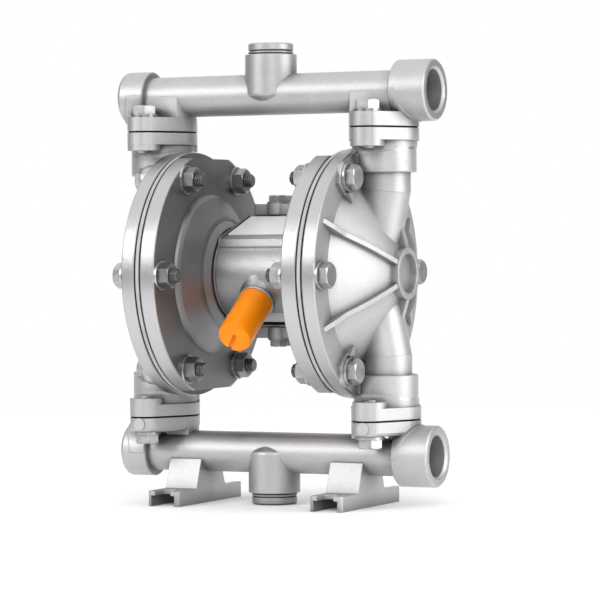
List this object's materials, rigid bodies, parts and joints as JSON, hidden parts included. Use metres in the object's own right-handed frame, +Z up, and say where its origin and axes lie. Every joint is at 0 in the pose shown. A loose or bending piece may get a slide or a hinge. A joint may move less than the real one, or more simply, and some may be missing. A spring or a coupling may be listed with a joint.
{
  "type": "air_operated_diaphragm_pump",
  "caption": "Air-operated double diaphragm pump in cast aluminium, with bolted manifolds above and below, both fluid ports to the right, an orange exhaust silencer and slotted feet.",
  "frame": {"origin": "on the floor under the middle of the part's box, 4.9 mm to the outlet's side of the pump's middle plane", "axes": "+X is along the diaphragm shaft, out of both fluid ports; +Y is away from the silencer, out of the air inlet; +Z is up"},
  "size_m": [0.2, 0.145, 0.27],
  "materials": {
    "cast_aluminium": "satin",
    "dark_aluminium": "satin",
    "bright_aluminium": "satin",
    "zinc_steel": "satin",
    "turned_steel": "satin",
    "black_rubber": "matte",
    "white_ptfe": "matte",
    "white_label": "matte",
    "orange_plastic": "satin",
    "bronze": "satin"
  },
  "bodies": {
    "pump_housing": {"discharge_manifold": "cast_aluminium", "suction_manifold": "cast_aluminium", "discharge_plug": "bright_aluminium", "suction_plug": "bright_aluminium", "port_gaskets": "black_rubber", "valve_seats": "turned_steel", "valve_cages": "white_ptfe", "left_fluid_cover": "cast_aluminium", "right_fluid_cover": "cast_aluminium", "left_air_casing": "dark_aluminium", "right_air_casing": "dark_aluminium", "left_diaphragm": "white_ptfe", "right_diaphragm": "white_ptfe", "left_backing": "black_rubber", "right_backing": "black_rubber", "rim_seals": "black_rubber", "centre_body": "cast_aluminium", "rating_plate": "white_label", "hub_gaskets": "black_rubber", "shaft_bushes": "bronze", "shaft_seals": "black_rubber", "casing_screws": "zinc_steel", "air_valve_block": "cast_aluminium", "block_gasket": "black_rubber", "block_screws": "zinc_steel", "valve_top_cap": "cast_aluminium", "valve_bottom_cap": "cast_aluminium", "cap_gaskets": "black_rubber", "valve_sleeve": "bronze", "cap_bolts": "zinc_steel", "cap_washers": "zinc_steel", "exhaust_silencer": "orange_plastic", "left_disc_bolts": "zinc_steel", "right_disc_bolts": "zinc_steel", "left_disc_nuts": "zinc_steel", "right_disc_nuts": "zinc_steel", "left_disc_washers": "zinc_steel", "right_disc_washers": "zinc_steel", "manifold_bolts": "zinc_steel", "manifold_washers": "zinc_steel", "silencer_washer": "bright_aluminium"},
    "shaft_group": {"drive_shaft": "turned_steel", "shaft_nuts": "zinc_steel", "left_outer_plate": "bright_aluminium", "right_outer_plate": "bright_aluminium", "left_inner_plate": "turned_steel", "right_inner_plate": "turned_steel"},
    "pilot": {"pilot_rod": "turned_steel"},
    "spool": {"valve_spool": "bright_aluminium"},
    "left_suction_ball_body": {"left_suction_ball": "white_ptfe"},
    "right_suction_ball_body": {"right_suction_ball": "white_ptfe"},
    "left_discharge_ball_body": {"left_discharge_ball": "white_ptfe"},
    "right_discharge_ball_body": {"right_discharge_ball": "white_ptfe"}
  },
  "joints": [
    {"name": "shaft_slide", "type": "slide", "parent": "pump_housing", "child": "shaft_group", "axis": [1, 0, 0], "range_m": [-0.007, 0.007], "deforming": ["left_diaphragm", "right_diaphragm", "left_backing", "right_backing"]},
    {"name": "pilot_slide", "type": "slide", "parent": "pump_housing", "child": "pilot", "axis": [1, 0, 0], "range_m": [-0.0025, 0.0025]},
    {"name": "spool_slide", "type": "slide", "parent": "pump_housing", "child": "spool", "axis": [0, 0, 1], "range_m": [0, 0.008]},
    {"name": "left_suction_ball_lift", "type": "slide", "parent": "pump_housing", "child": "left_suction_ball_body", "axis": [0, 0, 1], "range_m": [0, 0.004]},
    {"name": "right_suction_ball_lift", "type": "slide", "parent": "pump_housing", "child": "right_suction_ball_body", "axis": [0, 0, 1], "range_m": [0, 0.004]},
    {"name": "left_discharge_ball_lift", "type": "slide", "parent": "pump_housing", "child": "left_discharge_ball_body", "axis": [0, 0, 1], "range_m": [0, 0.004]},
    {"name": "right_discharge_ball_lift", "type": "slide", "parent": "pump_housing", "child": "right_discharge_ball_body", "axis": [0, 0, 1], "range_m": [0, 0.004]}
  ],
  "couplings": [
    {"joint": "pilot_slide", "follows": "shaft_slide", "ratio": 0.35714}
  ]
}
